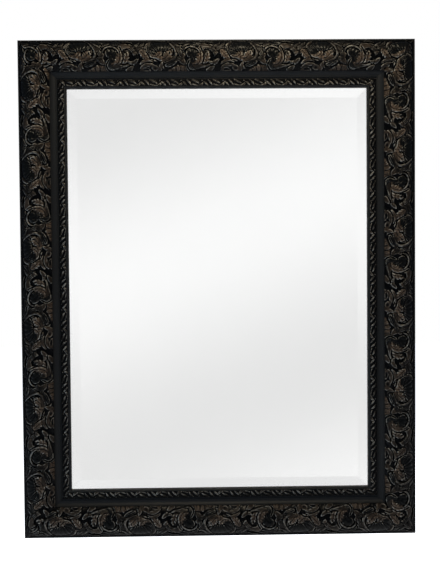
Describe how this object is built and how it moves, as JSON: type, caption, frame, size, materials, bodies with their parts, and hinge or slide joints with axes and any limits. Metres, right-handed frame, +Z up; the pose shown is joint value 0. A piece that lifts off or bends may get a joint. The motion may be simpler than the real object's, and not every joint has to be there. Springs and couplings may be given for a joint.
{
  "type": "wall mirror",
  "caption": "Rectangular bevelled wall mirror in a wide black frame with embossed baroque scroll ornament and a bronze wash, hung by two D-rings.",
  "frame": {"origin": "on the wall plane, which touches the rear faces of the four wall pads, behind the centre of the mirror's outline", "axes": "+Z up along the longer side, +X to the right as seen from the room, +Y into the wall; the mirror faces -Y"},
  "size_m": [0.772, 0.0461, 0.972],
  "materials": {
    "painted_wood": "satin black lacquer on pine",
    "bronzed_ornament": "cast composition, black with a rubbed bronze wash",
    "clear_glass": "polished, bevelled edge",
    "silver_coat": "silvered",
    "felt_tape": "soft black felt",
    "block_rubber": "soft rubber",
    "white_foam": "closed-cell foam sheet",
    "hardboard": "brown hardboard",
    "zinc_steel": "bright zinc plate",
    "screw_steel": "yellowish zinc plate",
    "wedge_steel": "bare spring steel",
    "pad_rubber": "black rubber"
  },
  "bodies": {
    "frame": {"rail_top": "painted_wood", "stile_right": "painted_wood", "rail_bottom": "painted_wood", "stile_left": "painted_wood", "scroll_ornament_top": "bronzed_ornament", "sight_ornament_top": "bronzed_ornament", "rebate_tape_top": "felt_tape", "scroll_ornament_right": "bronzed_ornament", "sight_ornament_right": "bronzed_ornament", "rebate_tape_right": "felt_tape", "scroll_ornament_bottom": "bronzed_ornament", "sight_ornament_bottom": "bronzed_ornament", "rebate_tape_bottom": "felt_tape", "scroll_ornament_left": "bronzed_ornament", "sight_ornament_left": "bronzed_ornament", "rebate_tape_left": "felt_tape", "mirror_glass": "clear_glass", "silver_backing": "silver_coat", "glass_edge_blocks": "block_rubber", "foam_sheet": "white_foam", "backing_board": "hardboard", "corner_wedges": "wedge_steel", "turn_button_screws": "screw_steel", "hanger_screws": "screw_steel", "hanger_strap_left": "zinc_steel", "hanger_strap_right": "zinc_steel", "wall_pad_top_left": "pad_rubber", "wall_pad_top_right": "pad_rubber", "wall_pad_bottom_right": "pad_rubber", "wall_pad_bottom_left": "pad_rubber"},
    "turn_button_left_upper": {"turn_button_left_upper": "zinc_steel"},
    "turn_button_left_middle": {"turn_button_left_middle": "zinc_steel"},
    "turn_button_left_lower": {"turn_button_left_lower": "zinc_steel"},
    "turn_button_right_upper": {"turn_button_right_upper": "zinc_steel"},
    "turn_button_right_middle": {"turn_button_right_middle": "zinc_steel"},
    "turn_button_right_lower": {"turn_button_right_lower": "zinc_steel"},
    "turn_button_top_left": {"turn_button_top_left": "zinc_steel"},
    "turn_button_top_right": {"turn_button_top_right": "zinc_steel"},
    "turn_button_bottom_left": {"turn_button_bottom_left": "zinc_steel"},
    "turn_button_bottom_right": {"turn_button_bottom_right": "zinc_steel"},
    "hanger_ring_left": {"hanger_ring_left": "zinc_steel"},
    "hanger_ring_right": {"hanger_ring_right": "zinc_steel"}
  },
  "joints": [
    {"name": "ring_left_swing", "type": "hinge", "parent": "frame", "child": "hanger_ring_left", "pos_m": [-0.341, -0.0032, 0.19], "axis": [1, 0, 0], "range_deg": [0, 175.4]},
    {"name": "ring_right_swing", "type": "hinge", "parent": "frame", "child": "hanger_ring_right", "pos_m": [0.341, -0.0032, 0.19], "axis": [1, 0, 0], "range_deg": [0, 175.4]},
    {"name": "button_left_upper_turn", "type": "hinge", "parent": "frame", "child": "turn_button_left_upper", "pos_m": [-0.309, -0.00505, 0.29], "axis": [0, 1, 0], "continuous": true},
    {"name": "button_left_middle_turn", "type": "hinge", "parent": "frame", "child": "turn_button_left_middle", "pos_m": [-0.309, -0.00505, 0], "axis": [0, 1, 0], "continuous": true},
    {"name": "button_left_lower_turn", "type": "hinge", "parent": "frame", "child": "turn_button_left_lower", "pos_m": [-0.309, -0.00505, -0.29], "axis": [0, 1, 0], "continuous": true},
    {"name": "button_right_upper_turn", "type": "hinge", "parent": "frame", "child": "turn_button_right_upper", "pos_m": [0.309, -0.00505, 0.29], "axis": [0, 1, 0], "continuous": true},
    {"name": "button_right_middle_turn", "type": "hinge", "parent": "frame", "child": "turn_button_right_middle", "pos_m": [0.309, -0.00505, 0], "axis": [0, 1, 0], "continuous": true},
    {"name": "button_right_lower_turn", "type": "hinge", "parent": "frame", "child": "turn_button_right_lower", "pos_m": [0.309, -0.00505, -0.29], "axis": [0, 1, 0], "continuous": true},
    {"name": "button_top_left_turn", "type": "hinge", "parent": "frame", "child": "turn_button_top_left", "pos_m": [-0.15, -0.00505, 0.409], "axis": [0, 1, 0], "continuous": true},
    {"name": "button_top_right_turn", "type": "hinge", "parent": "frame", "child": "turn_button_top_right", "pos_m": [0.15, -0.00505, 0.409], "axis": [0, 1, 0], "continuous": true},
    {"name": "button_bottom_left_turn", "type": "hinge", "parent": "frame", "child": "turn_button_bottom_left", "pos_m": [-0.15, -0.00505, -0.409], "axis": [0, 1, 0], "continuous": true},
    {"name": "button_bottom_right_turn", "type": "hinge", "parent": "frame", "child": "turn_button_bottom_right", "pos_m": [0.15, -0.00505, -0.409], "axis": [0, 1, 0], "continuous": true}
  ]
}
